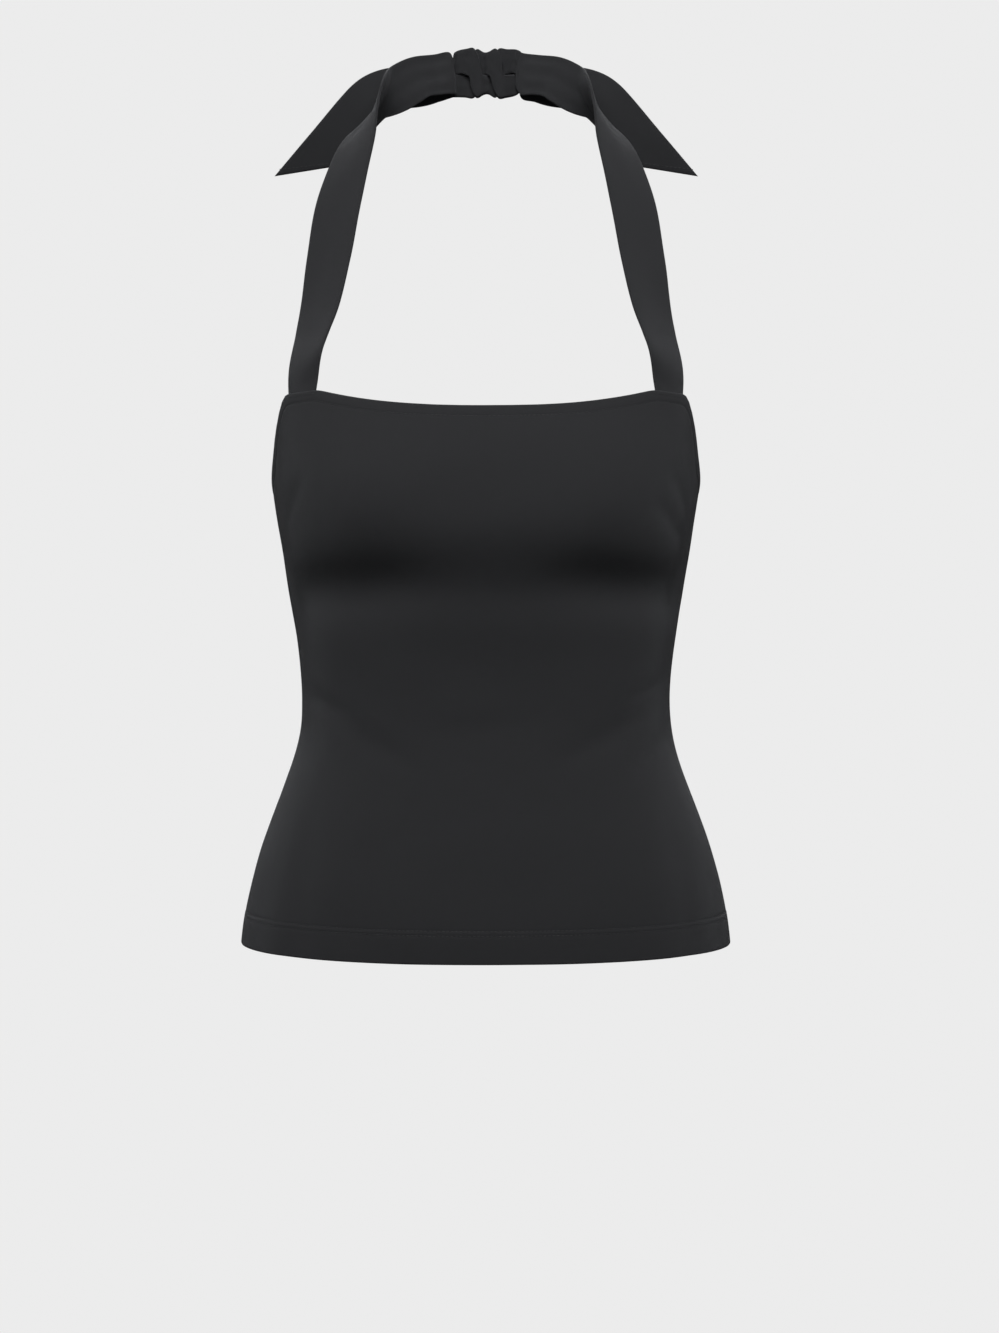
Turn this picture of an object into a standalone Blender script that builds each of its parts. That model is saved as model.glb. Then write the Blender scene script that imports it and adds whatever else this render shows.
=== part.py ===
"""Halter neck top: a fitted jersey body with a square neckline, and two ties knotted behind the neck.

Metres, +Z up. The wearer faces -Y, so the wearer's left is +X. The origin is the inner face of the
knot at the nape, where the neck holds the top up. Each piece of cloth is a solid of its own.
"""

from collections import namedtuple
from math import cos, pi, radians, sin, tan

import bmesh
import bpy
from mathutils import Vector

# Cloth
BODY_WALL = 0.0016        # double jersey
SEAM_GAP = 0.0003         # between two pieces at a seam
CHARCOAL = (0.030, 0.031, 0.033, 1.0)

SHARP_EDGE = radians(50)

# Body: heights of its edges, below the nape
HEM_UP = -0.600
HEM_SIDE_RISE = 0.0025    # the hem is cut a little higher at the side seams
NECK_CENTRE_UP = -0.2328
NECK_CORNER_UP = -0.2226
STRAP_OUTER_UP = -0.2262
UNDERARM_UP = -0.287
BACK_CENTRE_UP = -0.300
NECK_SAG_POWER = 2.2      # how late the neckline turns up to its corners
ARMHOLE_POWER = 1.8       # how late the armhole edge turns level

# Body: places round it, in degrees from the centre front
STRAP_INNER_TURN = 45.0
STRAP_OUTER_TURN = 61.8
SIDE_TURN = 90.0
SIDE_SEAM_Y = -0.065      # the side seams' plane

# Body: sections. half_width is to the side seam, front and back are depths from the side seams' plane
Section = namedtuple("Section", "up half_width front back")
SECTIONS = [
    Section(-0.600, 0.1668, 0.1100, 0.1120),
    Section(-0.575, 0.1637, 0.1090, 0.1100),
    Section(-0.545, 0.1566, 0.1050, 0.1050),
    Section(-0.515, 0.1468, 0.1000, 0.0980),
    Section(-0.485, 0.1355, 0.0940, 0.0890),
    Section(-0.458, 0.1268, 0.0890, 0.0810),
    Section(-0.430, 0.1250, 0.0860, 0.0770),
    Section(-0.400, 0.1270, 0.0865, 0.0790),
    Section(-0.362, 0.1333, 0.0890, 0.0855),
    Section(-0.330, 0.1382, 0.1010, 0.0920),
    Section(-0.303, 0.1425, 0.1065, 0.0960),
    Section(-0.278, 0.1459, 0.1060, 0.0980),
    Section(-0.250, 0.1483, 0.0990, 0.0980),
    Section(-0.222, 0.1500, 0.0890, 0.0980),
]
FRONT_FULLNESS = 2.35     # a section's power: 2 is an ellipse, more is squarer
BACK_FULLNESS = 2.25

# Body: room that the front is cut with over the bust, each side of the centre
BUST_RISE = 0.0095
BUST_OUT = 0.072          # from the centre front to the middle of each side's room
BUST_SPREAD = 0.070       # from there to where it ends at the side
BUST_BRIDGE = 0.40        # how much of it is missing at the centre front
BUST_TOP_UP = -0.215
BUST_FULL_UP = -0.308
BUST_UNDER_UP = -0.362

# Body: steps that show which way its face looks at a point, in degrees and metres
NEAR_TURN = 0.5
NEAR_UP = 0.004

# Body: mesh
NECK_COLUMNS = 9
STRAP_COLUMNS = 4
ARMHOLE_COLUMNS = 8
FRONT_ROWS = 27
BACK_COLUMNS = 16
BACK_ROWS = 21

# Ties: a turned tube of jersey, pressed flat
TIE_WIDTH = 0.030
TIE_THICK = 0.0022
TIE_EDGE = 0.35           # thickness left at the tie's long edges
TIE_COLUMNS = 5
TAIL_CUT = 40.0           # the free end's angle to the tie's length, in degrees
TAIL_CUT_RUN = 0.070      # length over which the sections lean to that angle
UPRIGHT_OUT = 0.034       # the sections stand upright as far out as this
SQUARE_OUT = 0.052        # and square to the tie's length from here on
STATIONS_A_ROW = 3
KNOT_STATIONS_A_ROW = 2

# Ties: a reef knot, pulled flat. In it each tie is folded to half its width, and one lies below the other
# except where they cross, and spread a little. out is towards the tie's own side. layer is how far the
# strap's strand lies before the knot's middle, and the free end's strand behind it. half is -1 in the
# tie's own half of the knot's height and 1 in the other tie's, times KNOT_HALF_UP
KNOT_CENTRE_Y = 0.0072    # with its inner face at the origin
KNOT_HALF_UP = 0.0082
KNOT_AREA = 0.000058      # of the folded tie's section: width times thickness
Bend = namedtuple("Bend", "out layer half wide facing")
KNOT_BENDS = [
    Bend(0.0222, 0.0020, -0.95, 0.0170, 180),
    Bend(0.0140, 0.0020, -1.0, 0.0158, 180),      # beside the other tie's loop
    Bend(0.0075, 0.0020, 0.0, 0.0230, 180),       # across the other tie
    Bend(0.0022, 0.0022, 1.0, 0.0158, 180),
    Bend(-0.0022, 0.0052, 1.0, 0.0158, 180),
    Bend(-0.0075, 0.0054, 0.0, 0.0230, 180),
    Bend(-0.0135, 0.0052, -1.0, 0.0158, 176),
    Bend(-0.0178, 0.0040, -1.0, 0.0158, 140),     # and round into its own loop
    Bend(-0.0198, 0.0020, -1.0, 0.0158, 112),
]
KNOT_TURN = Bend(-0.0203, 0.0, -1.0, 0.0158, 90)  # the loop's middle, from where they run back mirrored

# Each row of a tie is a place along its middle line. out is from the centre plane, y and up are world
# coordinates, facing is the outward direction in degrees from the front, and lift is how far it looks up
Row = namedtuple("Row", "out y up wide thick facing lift")
STRAP_ROWS = [
    Row(0.1230, -0.1217, -0.2242, TIE_WIDTH, TIE_THICK, 40, 8),
    Row(0.1180, -0.1123, -0.1950, TIE_WIDTH, TIE_THICK, 47, 12),
    Row(0.1116, -0.1012, -0.1650, TIE_WIDTH, TIE_THICK, 37, 16),
    Row(0.1065, -0.0893, -0.1345, TIE_WIDTH, TIE_THICK, 26, 20),
    Row(0.1018, -0.0763, -0.1034, TIE_WIDTH, TIE_THICK, 21, 24),
    Row(0.0964, -0.0638, -0.0775, TIE_WIDTH, TIE_THICK, 34, 30),
    Row(0.0896, -0.0515, -0.0530, TIE_WIDTH, TIE_THICK, 52, 36),
    Row(0.0820, -0.0405, -0.0345, TIE_WIDTH, TIE_THICK, 84, 36),
    Row(0.0715, -0.0280, -0.0200, 0.0295, TIE_THICK, 114, 28),
    Row(0.0590, -0.0160, -0.0115, 0.0290, TIE_THICK, 138, 18),
    Row(0.0460, -0.0075, -0.0035, 0.0275, 0.0024, 155, 12),
    Row(0.0345, 0.0002, -0.0018, 0.0290, 0.0024, 168, 6),
    Row(0.0258, 0.0042, -0.0005, 0.0280, 0.0026, 178, 2),
]
TAIL_ROWS = [
    Row(0.0258, 0.0102, -0.0020, 0.0280, 0.0026, 0, 0),
    Row(0.0345, 0.0104, -0.0055, 0.0285, 0.0024, 0, 0),
    Row(0.0460, 0.0085, -0.0082, 0.0290, TIE_THICK, -2, -4),
    Row(0.0590, 0.0062, -0.0095, 0.0290, TIE_THICK, -5, -8),
    Row(0.0695, 0.0042, -0.0118, TIE_WIDTH, TIE_THICK, -8, -10),
    Row(0.0785, 0.0030, -0.0168, TIE_WIDTH, TIE_THICK, -10, -12),
    Row(0.0880, 0.0035, -0.0260, TIE_WIDTH, TIE_THICK, -10, -14),
    Row(0.1050, 0.0065, -0.0462, TIE_WIDTH, TIE_THICK, -10, -14),
    Row(0.1228, 0.0105, -0.0668, TIE_WIDTH, TIE_THICK, -10, -14),
]


def knot_rows(lead):
    """A tie's rows through the knot, from its strap's side round the loop and back. lead is 1 for the
    tie whose own half is the lower one, and -1 for the other."""
    way_back = [
        bend._replace(layer=-bend.layer, facing=180 - bend.facing) for bend in reversed(KNOT_BENDS)
    ]
    rows = []
    for bend in KNOT_BENDS + [KNOT_TURN] + way_back:
        y = KNOT_CENTRE_Y - bend.layer
        up = lead * bend.half * KNOT_HALF_UP
        rows.append(Row(bend.out, y, up, bend.wide, KNOT_AREA / bend.wide, bend.facing, 0))
    return rows


def between(before, start, end, after, share):
    """A smooth value between start and end, which also heeds the values before and after them."""
    lead_in = (end - before) / 2
    lead_out = (after - start) / 2
    square, cube = share ** 2, share ** 3
    return (
        (2 * cube - 3 * square + 1) * start
        + (cube - 2 * square + share) * lead_in
        + (3 * square - 2 * cube) * end
        + (cube - square) * lead_out
    )


def smooth_rows(rows, steps):
    """The rows of a table with further rows smoothly between them, steps[i] from row i to the next."""
    found = []
    for i in range(len(rows) - 1):
        before = rows[max(i - 1, 0)]
        after = rows[min(i + 2, len(rows) - 1)]
        for step in range(steps[i]):
            share = step / steps[i]
            values = [between(*column, share) for column in zip(before, rows[i], rows[i + 1], after)]
            found.append(type(rows[0])(*values))
    found.append(rows[-1])
    return found


def section_at(up):
    """The body's section at a height."""
    i = sum(1 for row in SECTIONS[1:-1] if row.up <= up)
    share = (up - SECTIONS[i].up) / (SECTIONS[i + 1].up - SECTIONS[i].up)
    before = SECTIONS[max(i - 1, 0)]
    after = SECTIONS[min(i + 2, len(SECTIONS) - 1)]
    columns = zip(before, SECTIONS[i], SECTIONS[i + 1], after)
    return Section(*(between(*column, share) for column in columns))


def bust_room(x, up):
    """How far the front stands out over the bust at x and up, beyond its section."""
    if up >= BUST_FULL_UP:
        part = (BUST_TOP_UP - up) / (BUST_TOP_UP - BUST_FULL_UP)
    else:
        part = (up - BUST_UNDER_UP) / (BUST_FULL_UP - BUST_UNDER_UP)
    tall = sin(pi / 2 * min(max(part, 0.0), 1.0)) ** 2
    out = abs(x)
    if out < BUST_OUT:
        across = 1 - BUST_BRIDGE * cos(pi / 2 * out / BUST_OUT) ** 2
    else:
        across = cos(pi / 2 * min((out - BUST_OUT) / BUST_SPREAD, 1.0)) ** 2
    return BUST_RISE * tall * across


def front_point(turn, up):
    """A point on the body's outer face, at a turn in degrees from the centre front."""
    section = section_at(up)
    power = 2 / FRONT_FULLNESS
    x = section.half_width * sin(radians(turn)) ** power
    y = SIDE_SEAM_Y - section.front * cos(radians(turn)) ** power
    return Vector((x, y - bust_room(x, up), up))


def back_point(turn, up):
    """The same behind the side seams, at a turn in degrees from the centre back."""
    section = section_at(up)
    power = 2 / BACK_FULLNESS
    x = section.half_width * sin(radians(turn)) ** power
    y = SIDE_SEAM_Y + section.back * cos(radians(turn)) ** power
    return Vector((x, y, up))


def front_edge_up(turn):
    """The height of the front's upper edge: neckline, strap seam, then armhole."""
    if turn <= STRAP_INNER_TURN:
        out = sin(radians(turn)) / sin(radians(STRAP_INNER_TURN))
        return NECK_CENTRE_UP + (NECK_CORNER_UP - NECK_CENTRE_UP) * out ** NECK_SAG_POWER
    if turn <= STRAP_OUTER_TURN:
        share = (turn - STRAP_INNER_TURN) / (STRAP_OUTER_TURN - STRAP_INNER_TURN)
        return NECK_CORNER_UP + (STRAP_OUTER_UP - NECK_CORNER_UP) * share
    share = (turn - STRAP_OUTER_TURN) / (SIDE_TURN - STRAP_OUTER_TURN)
    return STRAP_OUTER_UP + (UNDERARM_UP - STRAP_OUTER_UP) * (1 - (1 - share) ** ARMHOLE_POWER)


def back_edge_up(turn):
    """The height of the back's upper edge."""
    return UNDERARM_UP + (BACK_CENTRE_UP - UNDERARM_UP) * cos(radians(turn)) ** 2


def spaced(start, end, count):
    """count values from start up to, but without, end."""
    return [start + (end - start) * i / count for i in range(count)]


def jersey(name):
    """A matt knitted cloth of its own for one piece."""
    material = bpy.data.materials.new(name)
    material.use_nodes = True
    shader = material.node_tree.nodes["Principled BSDF"]
    shader.inputs["Base Color"].default_value = CHARCOAL
    shader.inputs["Roughness"].default_value = 0.85
    shader.inputs["Metallic"].default_value = 0.0
    material.diffuse_color = CHARCOAL
    return material


def add_piece(name, mesh, collection):
    """One piece of cloth as an object, shaded smooth."""
    mesh.materials.append(jersey(name + "_jersey"))
    mesh.shade_smooth()
    mesh.set_sharp_from_angle(angle=SHARP_EDGE)
    piece = bpy.data.objects.new(name, mesh)
    collection.objects.link(piece)
    return piece


def panel_mesh(name, turns, row_count, point, edge_up, faces_y):
    """Half a panel as an open surface, from the centre to the side seam and from the hem up. faces_y
    is -1 for the front, which looks along -Y, and 1 for the back."""
    frame = bmesh.new()
    columns = len(turns) - 1
    bmesh.ops.create_grid(frame, x_segments=columns, y_segments=row_count, size=1.0)
    for vert in frame.verts:
        column = round((vert.co.x + 1) / 2 * columns)
        share = (vert.co.y + 1) / 2
        turn = turns[column]
        hem_up = HEM_UP + HEM_SIDE_RISE * sin(radians(turn)) ** 2
        up = hem_up + (edge_up(turn) - hem_up) * share
        place = point(turn, up)
        place.y += faces_y * SEAM_GAP / 2
        vert.co = place
    centre_face = min(frame.faces, key=lambda face: face.calc_center_median().x)
    centre_face.normal_update()
    if centre_face.normal.y * faces_y < 0:
        for face in frame.faces:
            face.normal_flip()
    mesh = bpy.data.meshes.new(name)
    frame.to_mesh(mesh)
    frame.free()
    return mesh


def add_panel(name, mesh, collection):
    """A half panel mirrored to a whole one and given the cloth's thickness, inwards."""
    panel = add_piece(name, mesh, collection)
    mirror = panel.modifiers.new("Other half", "MIRROR")
    mirror.use_axis = (True, False, False)
    mirror.merge_threshold = 0.0001
    wall = panel.modifiers.new("Cloth", "SOLIDIFY")
    wall.thickness = BODY_WALL
    wall.offset = -1.0
    wall.use_even_offset = True
    return panel


def front_panel(collection):
    turns = (
        spaced(0.0, STRAP_INNER_TURN, NECK_COLUMNS)
        + spaced(STRAP_INNER_TURN, STRAP_OUTER_TURN, STRAP_COLUMNS)
        + spaced(STRAP_OUTER_TURN, SIDE_TURN, ARMHOLE_COLUMNS)
        + [SIDE_TURN]
    )
    mesh = panel_mesh("front_panel", turns, FRONT_ROWS, front_point, front_edge_up, -1)
    return add_panel("front_panel", mesh, collection)


def back_panel(collection):
    turns = spaced(0.0, SIDE_TURN, BACK_COLUMNS) + [SIDE_TURN]
    mesh = panel_mesh("back_panel", turns, BACK_ROWS, back_point, back_edge_up, 1)
    return add_panel("back_panel", mesh, collection)


def across_tie():
    """Places across a tie, from -1 at its outer edge to 1 at its inner edge, with the share of the
    thickness that is left at each."""
    places = [-cos(pi * i / TIE_COLUMNS) for i in range(TIE_COLUMNS + 1)]
    return [(place, 1 - (1 - TIE_EDGE) * abs(place) ** 6) for place in places]


def seam_section():
    """The tie's first section, which stands on the front panel's edge."""
    outer_face, inner_face = [], []
    for place, share in across_tie():
        turn = STRAP_INNER_TURN + (STRAP_OUTER_TURN - STRAP_INNER_TURN) * (1 - place) / 2
        up = front_edge_up(turn)
        foot = front_point(turn, up)
        sideways = front_point(turn + NEAR_TURN, up) - front_point(turn - NEAR_TURN, up)
        upright = foot - front_point(turn, up - NEAR_UP)
        outward = sideways.cross(upright).normalized()
        middle = foot - outward * BODY_WALL / 2 + upright.normalized() * SEAM_GAP
        outer_face.append(middle + outward * TIE_THICK / 2 * share)
        inner_face.append(middle - outward * TIE_THICK / 2 * share)
    return outer_face + inner_face[::-1]


def tie_sections(rows):
    """The tie's sections along its rows, each a ring of points round the flat tube."""
    middles = [Vector((row.out, row.y, row.up)) for row in rows]
    left = [0.0]
    for i in range(len(rows) - 1, 0, -1):
        left.insert(0, left[0] + (middles[i] - middles[i - 1]).length)
    rings = []
    for i, row in enumerate(rows):
        along = middles[min(i + 1, len(rows) - 1)] - middles[max(i - 1, 0)]
        along.z *= min(max((row.out - UPRIGHT_OUT) / (SQUARE_OUT - UPRIGHT_OUT), 0.0), 1.0)
        along.normalize()
        level = cos(radians(row.lift))
        facing = Vector((sin(radians(row.facing)) * level, -cos(radians(row.facing)) * level,
                         sin(radians(row.lift))))
        outward = (facing - along * facing.dot(along)).normalized()
        inner_edge = outward.cross(along)
        lean = -max(1 - left[i] / TAIL_CUT_RUN, 0.0) / tan(radians(TAIL_CUT))
        outer_face, inner_face = [], []
        for place, share in across_tie():
            sideways = place * row.wide / 2
            middle = middles[i] + inner_edge * sideways - along * lean * sideways
            outer_face.append(middle + outward * row.thick / 2 * share)
            inner_face.append(middle - outward * row.thick / 2 * share)
        rings.append(outer_face + inner_face[::-1])
    return rings


def tie(name, side, lead, collection):
    """One tie: strap, its loop in the knot, and its free end. side is 1 on the wearer's left."""
    loop = knot_rows(lead)
    rows = STRAP_ROWS + loop + TAIL_ROWS
    steps = (
        [STATIONS_A_ROW] * len(STRAP_ROWS)
        + [KNOT_STATIONS_A_ROW] * (len(loop) - 1)
        + [STATIONS_A_ROW] * len(TAIL_ROWS)
    )
    rings = [seam_section()] + tie_sections(smooth_rows(rows, steps))[1:]
    frame = bmesh.new()
    loops = [[frame.verts.new((v.x * side, v.y, v.z)) for v in ring] for ring in rings]
    round_count = len(loops[0])
    for lower, upper in zip(loops, loops[1:]):
        for j in range(round_count):
            k = (j + 1) % round_count
            frame.faces.new((lower[j], lower[k], upper[k], upper[j]))
    for cap in (loops[0], loops[-1]):
        for j in range(TIE_COLUMNS):
            frame.faces.new((cap[j], cap[j + 1], cap[-j - 2], cap[-j - 1]))
    bmesh.ops.recalc_face_normals(frame, faces=frame.faces)
    mesh = bpy.data.meshes.new(name)
    frame.to_mesh(mesh)
    frame.free()
    return add_piece(name, mesh, collection)


def build():
    for old in list(bpy.data.objects):
        bpy.data.objects.remove(old, do_unlink=True)
    collection = bpy.data.collections.new("halter_neck_top")
    bpy.context.scene.collection.children.link(collection)
    front_panel(collection)
    back_panel(collection)
    tie("tie_right", -1, 1, collection)
    tie("tie_left", 1, -1, collection)


build()
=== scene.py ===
"""The looks of a halter neck top: charcoal double jersey, filled out as worn, with a square neckline, a
low straight back and two turned ties knotted behind the neck.

Metres, +Z up. The wearer faces -Y, so the wearer's left is +X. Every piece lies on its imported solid.
"""

from collections import namedtuple
from functools import partial
from math import cos, pi, radians, sin, tan

import bpy
import numpy as np
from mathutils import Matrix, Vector, noise
from mathutils.bvhtree import BVHTree


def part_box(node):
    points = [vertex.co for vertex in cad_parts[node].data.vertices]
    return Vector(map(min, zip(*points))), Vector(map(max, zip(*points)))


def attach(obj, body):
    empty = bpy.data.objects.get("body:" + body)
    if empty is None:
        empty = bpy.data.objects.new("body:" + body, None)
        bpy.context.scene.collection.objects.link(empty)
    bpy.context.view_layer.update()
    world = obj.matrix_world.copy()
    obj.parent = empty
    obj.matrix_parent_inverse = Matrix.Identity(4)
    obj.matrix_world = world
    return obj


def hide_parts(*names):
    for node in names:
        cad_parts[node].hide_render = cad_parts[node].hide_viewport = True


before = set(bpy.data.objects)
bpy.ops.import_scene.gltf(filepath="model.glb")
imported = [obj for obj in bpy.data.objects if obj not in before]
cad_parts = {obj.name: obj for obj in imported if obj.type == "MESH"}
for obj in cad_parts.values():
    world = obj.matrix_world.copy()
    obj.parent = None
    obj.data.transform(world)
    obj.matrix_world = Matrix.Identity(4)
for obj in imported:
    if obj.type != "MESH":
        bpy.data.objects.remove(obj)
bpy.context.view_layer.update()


# ---- Front panel ---------------------------------------------------------------------
# One piece of double jersey, a smooth knit of about 350 g/m2, cut without darts: it stretches over the
# bust and its side seams take it in at the waist. Its neckline and armholes are turned in and stitched.

# The body's form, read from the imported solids: how far the cloth stands from the body's upright axis
SIDE_SEAM_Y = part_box("front_panel")[1].y
FORM_PAST_LOW = 0.001  # the form goes on this far past the lowest and the highest edge
FORM_PAST_HIGH = 0.004
FORM_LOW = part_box("front_panel")[0].z - FORM_PAST_LOW
FORM_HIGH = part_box("front_panel")[1].z + FORM_PAST_HIGH
FORM_TURNS = 360
FORM_UPS = 155
FORM_TURN_SOFTEN = 12  # passes that take the solid's facets away
FORM_UP_SOFTEN = 16
EDGE_SOFTEN = 3
SLOPE_ROWS = 4         # past an edge the form keeps the slope that it has over these rows
FAR_OUT = 0.3
EDGE_HALVINGS = 14


def panels_tree():
    """Both panels' solids as one tree for rays."""
    places, faces = [], []
    for node in ("front_panel", "back_panel"):
        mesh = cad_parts[node].data
        first = len(places)
        places += [v.co.copy() for v in mesh.vertices]
        faces += [[first + i for i in face.vertices] for face in mesh.polygons]
    return BVHTree.FromPolygons(places, faces)


def reach_at(tree, turn, up):
    """How far the outer face stands from the axis at a turn from the centre front, or None past an edge."""
    way = Vector((sin(radians(turn)), -cos(radians(turn)), 0.0))
    start = Vector((0.0, SIDE_SEAM_Y, up)) + way * FAR_OUT
    distance = tree.ray_cast(start, -way, FAR_OUT)[3]
    return None if distance is None else FAR_OUT - distance


def edge_between(tree, turn, on_cloth, past_edge):
    """The height of an edge, which lies between a height on the cloth and one past it."""
    for _ in range(EDGE_HALVINGS):
        middle = (on_cloth + past_edge) / 2
        if reach_at(tree, turn, middle) is None:
            past_edge = middle
        else:
            on_cloth = middle
    return on_cloth


def softened(values, passes, closed):
    """Values along the first axis after some passes of a 1-2-1 average. An open end keeps its slope."""
    for _ in range(passes):
        if closed:
            before, after = np.roll(values, 1, axis=0), np.roll(values, -1, axis=0)
        else:
            before = np.concatenate([[2 * values[0] - values[1]], values[:-1]])
            after = np.concatenate([values[1:], [2 * values[-1] - values[-2]]])
        values = (before + 2 * values + after) / 4
    return values


Form = namedtuple("Form", "turns ups reach top bottom")


def read_form():
    """The body's form: reach at even turns and heights, and its top and bottom edges at each turn."""
    tree = panels_tree()
    turns = (np.arange(FORM_TURNS) + 0.5) * 360 / FORM_TURNS
    ups = np.linspace(FORM_LOW, FORM_HIGH, FORM_UPS)
    step = ups[1] - ups[0]
    reach = np.zeros((FORM_TURNS, FORM_UPS))
    top, bottom = np.zeros(FORM_TURNS), np.zeros(FORM_TURNS)
    for i, turn in enumerate(turns):
        column = [reach_at(tree, turn, up) for up in ups]
        on_cloth = [j for j, value in enumerate(column) if value is not None]
        low, high = on_cloth[0], on_cloth[-1]
        top[i] = edge_between(tree, turn, ups[high], ups[high] + step)
        bottom[i] = edge_between(tree, turn, ups[low], ups[low] - step)
        rise = (column[high] - column[high - SLOPE_ROWS]) / SLOPE_ROWS
        fall = (column[low] - column[low + SLOPE_ROWS]) / SLOPE_ROWS
        column[:low] = [column[low] + fall * (low - j) for j in range(low)]
        column[high + 1:] = [column[high] + rise * (j - high) for j in range(high + 1, FORM_UPS)]
        reach[i] = column
    reach = softened(reach, FORM_TURN_SOFTEN, closed=True)
    reach = softened(reach.T, FORM_UP_SOFTEN, closed=False).T
    return Form(turns, ups, reach, softened(top, EDGE_SOFTEN, closed=True), bottom)


form = read_form()


def form_points(turns, ups):
    """The outer face at each turn and height."""
    turns, ups = np.broadcast_arrays(turns, ups)
    column = (turns / 360 * FORM_TURNS - 0.5) % FORM_TURNS
    row = (ups - form.ups[0]) / (form.ups[1] - form.ups[0])
    i, j = column.astype(int), np.clip(row.astype(int), 0, FORM_UPS - 2)
    s, t = column - i, row - j
    k = (i + 1) % FORM_TURNS
    reach = (
        form.reach[i, j] * (1 - s) * (1 - t) + form.reach[k, j] * s * (1 - t)
        + form.reach[i, j + 1] * (1 - s) * t + form.reach[k, j + 1] * s * t
    )
    angle = np.radians(turns)
    return np.stack([reach * np.sin(angle), SIDE_SEAM_Y - reach * np.cos(angle), ups], axis=-1)


# A panel's mesh: even columns and rows, with close ones along its folded edges and stitch rows
JERSEY = 0.0011        # one layer
DOUBLED = 2 * JERSEY
PANEL_WIDTH = 0.40     # about, along the cloth
WAIST_REACH = 0.13     # from the axis to a side seam at the waist, and at the bust
BUST_REACH = 0.14
SEAM_GAP = 0.0003      # between the panels
EDGE_ROUND = 0.0011
EDGE_DROP = 0.8        # share of the round by which the outer face falls
NECK_TURNED = 0.0085   # allowance that is turned in
NECK_STITCH = 0.0070   # its stitch row, from the edge
HEM_TURNED = 0.0240
HEM_STITCHES = (0.0190, 0.0222)
STITCH_SINK = 0.00016
STITCH_SINK_WIDE = 0.00075
DOUBLE_RISE = 0.00022  # how far doubled cloth stands out
DOUBLE_RUN = 0.0010    # over what width it does so
LAYER_RUN = 0.0004     # and over what width the second layer begins
CORNER_RISE = 0.0060   # the ties pull the front's top corners up, most at this turn
CORNER_TURN = 72.4
CORNER_SPREAD = 2.4
SEAM_SINK = 0.0010     # the side seams pull the cloth in
SEAM_SINK_WIDE = 0.0022
CREASE_FREE = 0.012    # creases fade out this near a side seam
LONG_WAVES = (22, 30)  # the cloth's unevenness: waves a metre across and up, and their depth
LONG_WAVE_DEEP = 0.00045
SHORT_WAVES = (70, 55)
SHORT_WAVE_DEEP = 0.00012
STEEPEST = 2.4         # most that a sloping edge's rows spread in height
CLOSE = [-0.0012, -0.0006, 0.0, 0.0006, 0.0012]
EDGE_STEPS = [0.0, 0.0002, 0.0005, 0.0009, 0.0015, 0.0024]
SEAM_STEPS = [0.0, 0.0002, 0.0005, 0.0010, 0.0016, 0.0024, 0.0036]
PAST_TURNED = [0.0002, 0.0007]
EVEN_STEP = 0.0025


def even_steps(first, last):
    """Places from just after first up to just before last, about EVEN_STEP apart."""
    count = max(round((last - first) / EVEN_STEP), 1)
    return [first + (last - first) * i / count for i in range(1, count)]


def along_edge(stitches, turned):
    """Distances in from a turned edge at which the mesh has a row."""
    places = list(EDGE_STEPS)
    for stitch in stitches:
        close = [stitch + d for d in CLOSE]
        places += even_steps(places[-1], close[0]) + close
    places += [turned + d for d in PAST_TURNED]
    return sorted(set(round(place, 6) for place in places))


NECK_ROWS = along_edge([NECK_STITCH], NECK_TURNED)
HEM_ROWS = along_edge(HEM_STITCHES, HEM_TURNED)

Crease = namedtuple("Crease", "out up slant long wide deep")
Face = namedtuple("Face", "points normals turns")    # a panel's outer face, row by row from side to side


def crease_depth(creases, out, up):
    """How far the creases move the cloth at out along it from the panel's centre, and at a height."""
    depth = np.zeros_like(out)
    for crease in creases:
        right, rise = out - crease.out, up - crease.up
        lean = radians(crease.slant)
        along = (right * cos(lean) + rise * sin(lean)) / (crease.long / 2)
        across = (rise * cos(lean) - right * sin(lean)) / crease.wide
        depth += crease.deep * np.exp(-(across ** 2)) * np.exp(-((along ** 2) ** 1.5))
    return depth


def panel_grid(centre_turn):
    """A panel's columns as turns, and each row's heights and its distances from the top and the hem."""
    gap_turn = np.degrees(SEAM_GAP / 2 / WAIST_REACH)
    first, last = centre_turn - 90 + gap_turn, centre_turn + 90 - gap_turn
    seam_turns = np.degrees(np.array(SEAM_STEPS) / BUST_REACH)
    count = round((PANEL_WIDTH - 2 * SEAM_STEPS[-1]) / EVEN_STEP)
    inner = np.linspace(first + seam_turns[-1], last - seam_turns[-1], count)
    turns = np.concatenate([first + seam_turns[:-1], inner, last - seam_turns[-2::-1]])
    top, bottom = (np.interp(turns % 360, form.turns, edge, period=360) for edge in (form.top, form.bottom))
    top += CORNER_RISE * np.exp(-(((np.abs(turns) - CORNER_TURN) / CORNER_SPREAD) ** 2))
    edge = form_points(turns, top)
    slope = np.gradient(top) / np.linalg.norm(np.gradient(edge[:, :2], axis=0), axis=1)
    steep = softened(np.minimum(np.sqrt(1 + slope ** 2), STEEPEST), EDGE_SOFTEN, closed=False)
    count = round((top.mean() - bottom.mean() - HEM_ROWS[-1] - NECK_ROWS[-1]) / EVEN_STEP)
    low, high = bottom + HEM_ROWS[-1], top - NECK_ROWS[-1] * steep
    rows = [bottom + d for d in HEM_ROWS]
    rows += [low + (high - low) * (i / count) for i in range(1, count)]
    rows += [top - d * steep for d in reversed(NECK_ROWS)]
    ups = np.stack(rows)
    return turns, ups, (top - ups) / steep, ups - bottom


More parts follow.
